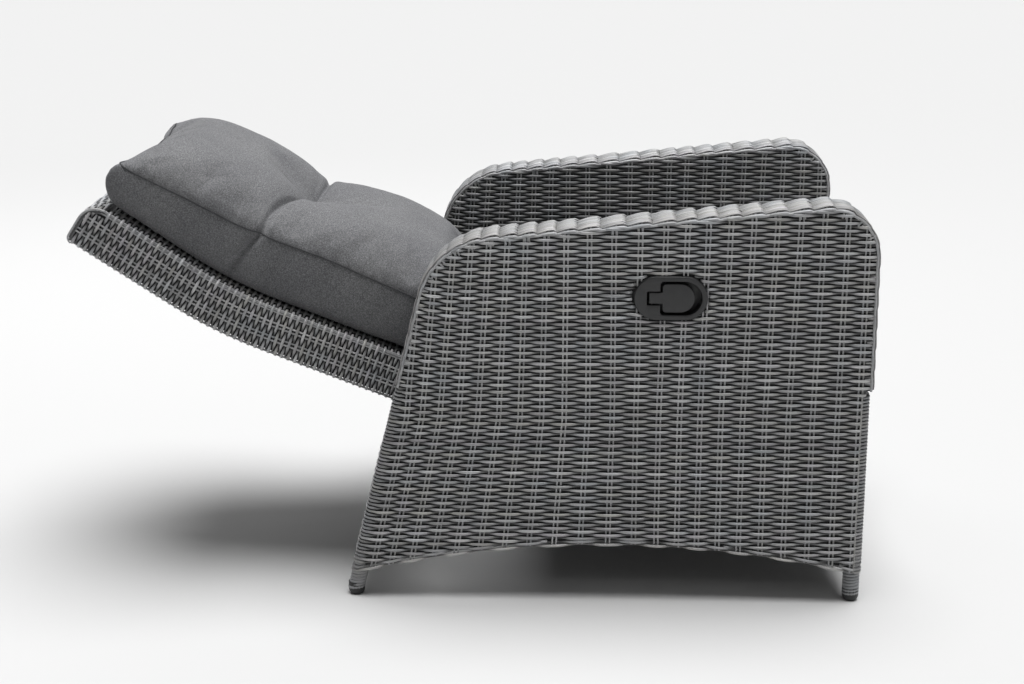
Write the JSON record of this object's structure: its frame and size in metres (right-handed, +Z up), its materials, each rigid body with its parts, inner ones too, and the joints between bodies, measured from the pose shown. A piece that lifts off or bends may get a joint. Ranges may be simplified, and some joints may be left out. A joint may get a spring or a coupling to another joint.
{
  "type": "reclining armchair",
  "caption": "Garden armchair with woven resin arms and back, a back that reclines on a locking gas spring, a side release handle, and seat and back cushions.",
  "frame": {"origin": "middle of the footprint box, on the floor", "axes": "+Z up; the seat faces -Y and the reclined back reaches towards +Y; X is the width, -X is the sitter's right with the release handle"},
  "size_m": [0.699, 1.3192, 0.7209],
  "materials": {
    "woven_resin": "woven strands in mixed greys, satin",
    "heathered_fabric": "heathered dark grey outdoor weave",
    "black_plastic": "moulded, satin",
    "painted_steel": "dark powder coat",
    "zinc_steel": "zinc plated",
    "chromed_steel": "hard chromed and polished",
    "cable_sheath": "satin sheath"
  },
  "bodies": {
    "base": {"right_arm_skin": "woven_resin", "right_front_leg_tube": "painted_steel", "right_arm_top_tube": "painted_steel", "right_rear_leg_tube": "painted_steel", "right_arm_inner_hoop": "painted_steel", "right_side_rail": "painted_steel", "right_seat_rail": "painted_steel", "right_front_foot_cap": "black_plastic", "right_rear_foot_cap": "black_plastic", "right_hinge_bracket": "zinc_steel", "right_hinge_pin": "zinc_steel", "right_hinge_bolt_front": "zinc_steel", "right_hinge_bolt_rear": "zinc_steel", "left_arm_skin": "woven_resin", "left_front_leg_tube": "painted_steel", "left_arm_top_tube": "painted_steel", "left_rear_leg_tube": "painted_steel", "left_arm_inner_hoop": "painted_steel", "left_side_rail": "painted_steel", "left_seat_rail": "painted_steel", "left_front_foot_cap": "black_plastic", "left_rear_foot_cap": "black_plastic", "left_hinge_bracket": "zinc_steel", "left_hinge_pin": "zinc_steel", "left_hinge_bolt_front": "zinc_steel", "left_hinge_bolt_rear": "zinc_steel", "front_cross_tube": "painted_steel", "middle_cross_tube": "painted_steel", "rear_cross_tube": "painted_steel", "low_rear_tube": "painted_steel", "front_apron": "woven_resin", "rear_apron": "woven_resin", "seat_deck": "woven_resin", "gas_spring_bracket": "zinc_steel", "gas_spring_pin": "zinc_steel", "gas_spring_release_head": "black_plastic", "gas_spring_rod": "chromed_steel", "handle_bezel": "black_plastic", "handle_hinge_pin": "zinc_steel", "handle_return_spring": "zinc_steel", "cable_guide": "black_plastic", "release_cable": "cable_sheath", "seat_cushion": "heathered_fabric"},
    "back": {"back_skin": "woven_resin", "back_right_side_tube": "painted_steel", "back_left_side_tube": "painted_steel", "back_top_tube": "painted_steel", "back_middle_tube": "painted_steel", "back_lower_tube": "painted_steel", "back_right_lever_plate": "painted_steel", "back_left_lever_plate": "painted_steel", "lever_pin": "zinc_steel", "back_cushion": "heathered_fabric"},
    "spring_cylinder": {"gas_spring_cylinder": "painted_steel", "gas_spring_tongue": "zinc_steel"},
    "release": {"release_lever": "zinc_steel"},
    "handle": {"handle_paddle": "black_plastic"}
  },
  "joints": [
    {"name": "recline", "type": "hinge", "parent": "base", "child": "back", "pos_m": [0, 0.0325, 0.3205], "axis": [1, 0, 0], "range_deg": [0, 54]},
    {"name": "spring_travel", "type": "slide", "parent": "base", "child": "spring_cylinder", "axis": [0, 1, 0], "range_m": [0, 0.069]},
    {"name": "handle_pull", "type": "hinge", "parent": "base", "child": "handle", "pos_m": [-0.3425, -0.3018, 0.5195], "axis": [0, 0, -1], "range_deg": [0, 25], "stiffness_Nm_per_rad": 0.4},
    {"name": "release_turn", "type": "hinge", "parent": "base", "child": "release", "pos_m": [0, -0.2715, 0.2845], "axis": [-1, 0, 0], "range_deg": [0, 12]}
  ],
  "couplings": [
    {"joint": "spring_travel", "follows": "recline", "m_per_rad": 0.0722},
    {"joint": "release_turn", "follows": "handle_pull", "ratio": 0.45}
  ]
}
